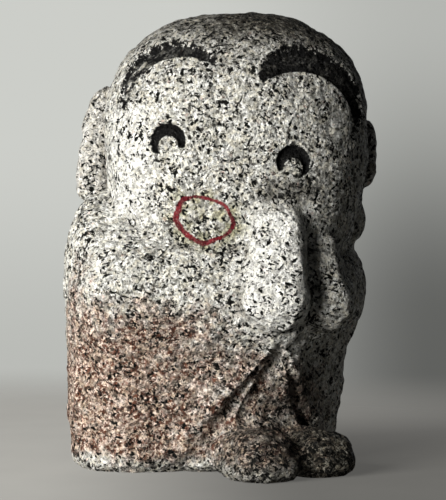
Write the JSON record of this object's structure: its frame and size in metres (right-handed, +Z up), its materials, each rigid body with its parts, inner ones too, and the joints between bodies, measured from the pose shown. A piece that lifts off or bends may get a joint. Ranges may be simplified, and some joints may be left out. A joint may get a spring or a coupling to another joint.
{
  "type": "jizo statue",
  "caption": "Granite figure of a praying child, carved from one block: big round head with crescent eyes, long ears, joined hands, draped sleeves and two blunt feet.",
  "frame": {"origin": "middle of the bounding box's base, on the surface that the statue stands on", "axes": "+Z up; the hands and the feet face -Y, and the head is turned 30 degrees from there to the figure's right, towards -X"},
  "size_m": [0.161, 0.1378, 0.2298],
  "materials": {
    "granite": "matte"
  },
  "bodies": {
    "root": {"jizo_statue": "granite"}
  },
  "joints": []
}
